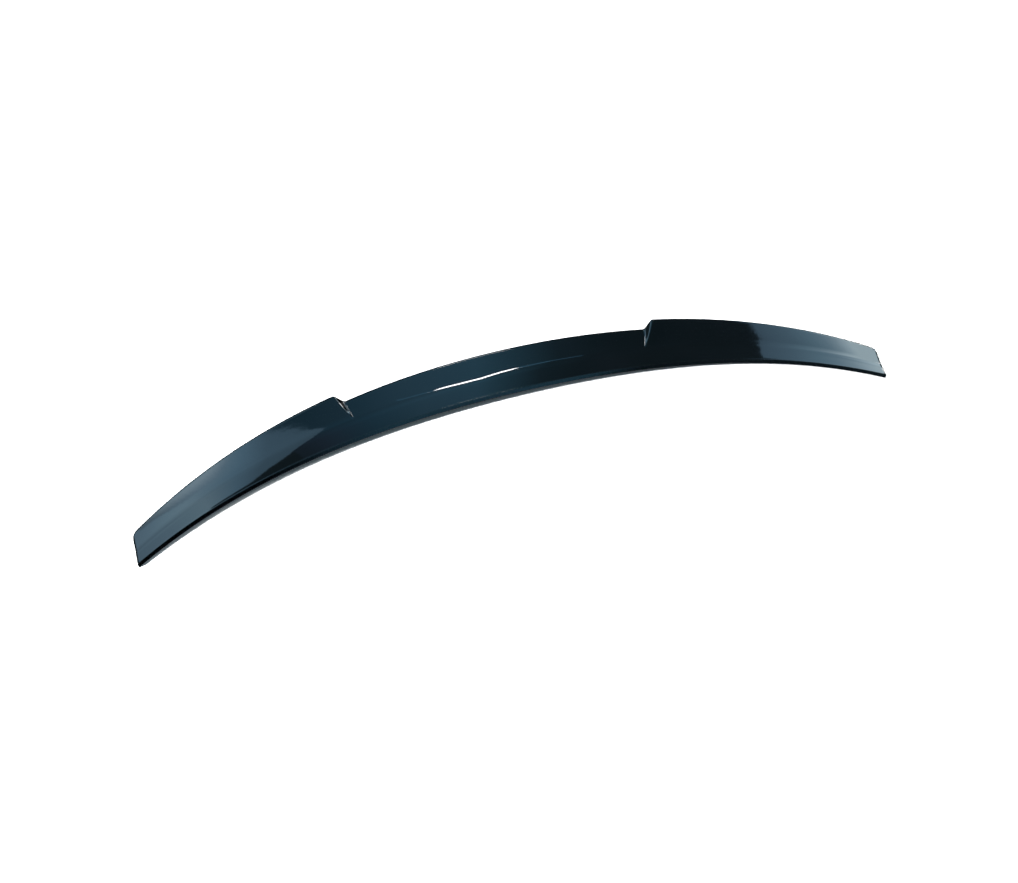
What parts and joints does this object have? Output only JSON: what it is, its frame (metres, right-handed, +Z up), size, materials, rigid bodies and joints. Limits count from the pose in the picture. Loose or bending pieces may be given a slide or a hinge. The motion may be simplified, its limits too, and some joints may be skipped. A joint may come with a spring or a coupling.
{
  "type": "car rear spoiler",
  "caption": "Gloss black lip spoiler for the rear edge of a car's boot lid, one moulding with a lower centre and a raised wing on each side, hollow below, with adhesive tape on its feet.",
  "frame": {"origin": "on the table, at the middle of the overall box, with the part lying at rest on its rear foot and the front corners of its tips", "axes": "+X along the span, +Y to the rear of the car, +Z up"},
  "size_m": [1.184, 0.1992, 0.0256],
  "materials": {
    "gloss_black": "moulded, polished gloss",
    "foam_tape": "closed cell foam, matt",
    "release_liner": "thin film, satin"
  },
  "bodies": {
    "root": {"spoiler_body": "gloss_black", "tape_front_left": "foam_tape", "tape_front_centre": "foam_tape", "tape_front_right": "foam_tape", "tape_rear_left": "foam_tape", "tape_rear_centre": "foam_tape", "tape_rear_right": "foam_tape", "liner_front_left": "release_liner", "liner_front_centre": "release_liner", "liner_front_right": "release_liner", "liner_rear_left": "release_liner", "liner_rear_centre": "release_liner", "liner_rear_right": "release_liner"}
  },
  "joints": []
}
